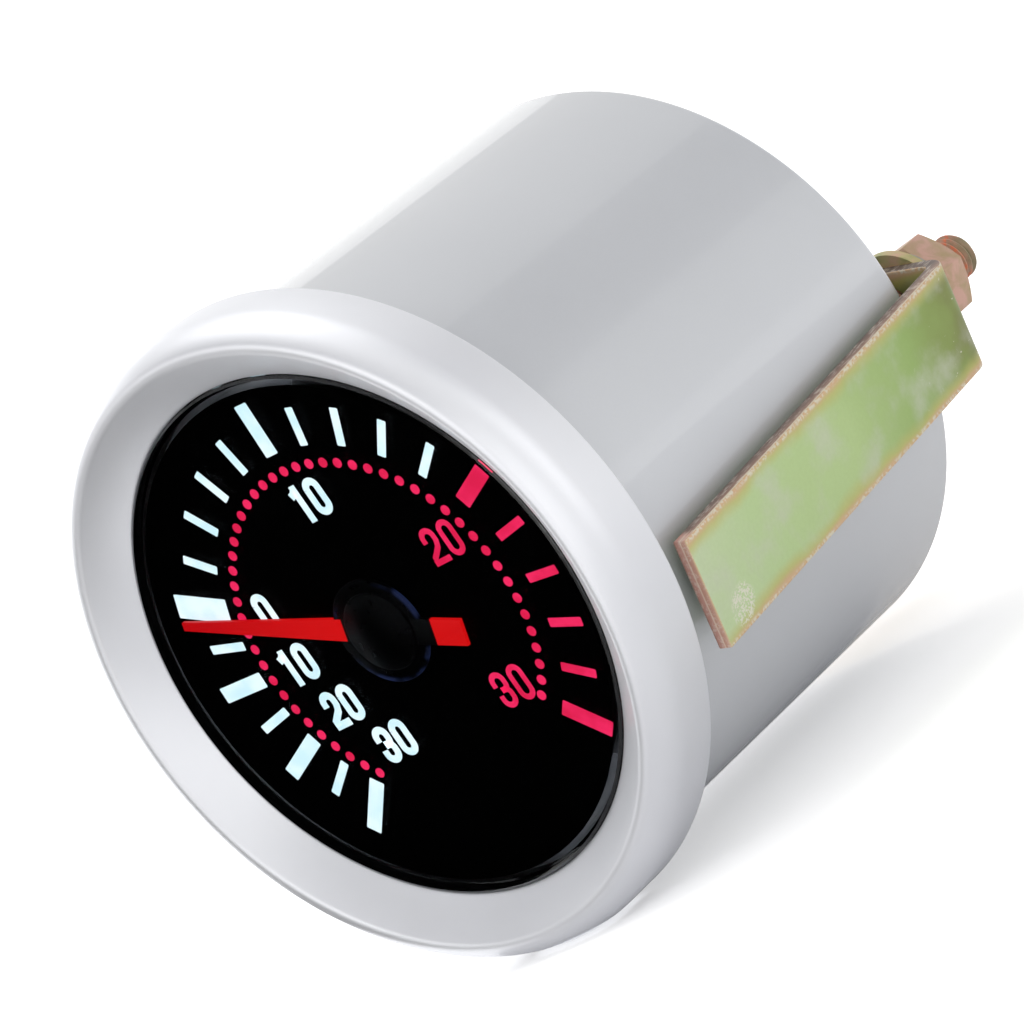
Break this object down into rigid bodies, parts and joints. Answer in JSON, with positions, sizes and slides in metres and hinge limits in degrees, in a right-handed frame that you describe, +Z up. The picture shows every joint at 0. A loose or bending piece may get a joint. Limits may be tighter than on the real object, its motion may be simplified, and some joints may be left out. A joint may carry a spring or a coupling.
{
  "type": "boost gauge",
  "caption": "Round panel gauge with a mechanical pressure movement, lit dial, satin bezel, barrel case and a rear clamp strap on threaded studs.",
  "frame": {"origin": "on the gauge's axis, in the plane where the rear face of the bezel seats on a panel", "axes": "+X to the right of someone reading the dial, +Y along the axis to the rear, +Z up at 12 o'clock; the dial faces -Y"},
  "size_m": [0.0572, 0.06, 0.0566],
  "materials": {
    "bezel_satin": "satin bright, spun",
    "case_gloss": "glossy light grey lacquer on steel",
    "lens_smoked": "smoked clear acrylic",
    "rubber_black": "matt black",
    "plastic_black": "black, the cap glossy",
    "dial_black": "matt black print with lit marks",
    "guide_clear": "clear acrylic",
    "board_green": "green glass-fibre board",
    "lamp_white": "white chip lamps",
    "pointer_red": "lit red",
    "brass": "turned and stamped brass",
    "steel_bright": "bright steel",
    "bronze": "phosphor bronze",
    "fibre_brown": "red fibre washer",
    "zinc_yellow": "yellow passivated zinc, green and pink in places",
    "zinc_copper": "yellow zinc with coppery red and green tints",
    "zinc_pink": "pinkish tan zinc"
  },
  "bodies": {
    "root": {"bezel_ring": "bezel_satin", "case_shell": "case_gloss", "lens": "lens_smoked", "lens_gasket": "rubber_black", "cable_grommet": "rubber_black", "shadow_ring": "plastic_black", "dial_plate": "dial_black", "light_guide": "guide_clear", "lamp_board": "board_green", "lamps": "lamp_white", "board_posts": "brass", "pressure_port": "brass", "port_nut": "brass", "front_plate": "brass", "rear_plate": "brass", "plate_pillars": "brass", "hairspring_stud": "brass", "board_screws": "steel_bright", "plate_screws": "steel_bright", "movement_screws": "steel_bright", "hairspring": "steel_bright", "bourdon_tube": "bronze", "port_gasket": "fibre_brown", "clamp_studs": "zinc_copper"},
    "sector": {"sector_gear": "brass", "sector_arbor": "steel_bright"},
    "pointer": {"pointer": "pointer_red", "pointer_cap": "plastic_black", "pinion_staff": "steel_bright"},
    "link": {"drive_link": "brass"},
    "tip": {"tube_tip": "bronze"},
    "clamp": {"clamp_strap": "zinc_yellow", "flat_washers": "zinc_yellow", "spring_washers": "steel_bright"},
    "nut_right": {"nut_right": "zinc_pink"},
    "nut_left": {"nut_left": "zinc_pink"}
  },
  "joints": [
    {"name": "sector_swing", "type": "hinge", "parent": "root", "child": "sector", "pos_m": [0.0108, 0.01, 0], "axis": [0, 1, 0], "range_deg": [-25.7, 8.6], "stiffness_Nm_per_rad": 0.005},
    {"name": "pointer_turn", "type": "hinge", "parent": "root", "child": "pointer", "pos_m": [0, 0.01, 0], "axis": [0, 1, 0], "range_deg": [-69, 206], "deforming": ["hairspring"]},
    {"name": "link_turn", "type": "hinge", "parent": "sector", "child": "link", "pos_m": [0.01673, 0.0086, -0.00089], "axis": [0, 1, 0], "range_deg": [-8.7, 25.8]},
    {"name": "tip_flex", "type": "hinge", "parent": "root", "child": "tip", "pos_m": [-0.00694, 0.0106, 0.00614], "axis": [0, 1, 0], "range_deg": [-6.6, 2.3], "deforming": ["bourdon_tube"]},
    {"name": "clamp_slide", "type": "slide", "parent": "root", "child": "clamp", "axis": [0, 1, 0], "range_m": [-0.0014, 0.0021]},
    {"name": "nut_right_spin", "type": "hinge", "parent": "clamp", "child": "nut_right", "pos_m": [0.02117, 0.0474, -0.00427], "axis": [0, 1, 0], "range_deg": [-720.5, 1080.5]},
    {"name": "nut_left_spin", "type": "hinge", "parent": "clamp", "child": "nut_left", "pos_m": [-0.02117, 0.0474, 0.00427], "axis": [0, 1, 0], "range_deg": [-720.5, 1080.5]}
  ],
  "couplings": [
    {"joint": "pointer_turn", "follows": "sector_swing", "ratio": -8},
    {"joint": "link_turn", "follows": "sector_swing", "ratio": -1},
    {"joint": "tip_flex", "follows": "sector_swing", "ratio": 0.25},
    {"joint": "nut_right_spin", "follows": "clamp_slide", "rad_per_m": 8976},
    {"joint": "nut_left_spin", "follows": "clamp_slide", "rad_per_m": 8976}
  ]
}
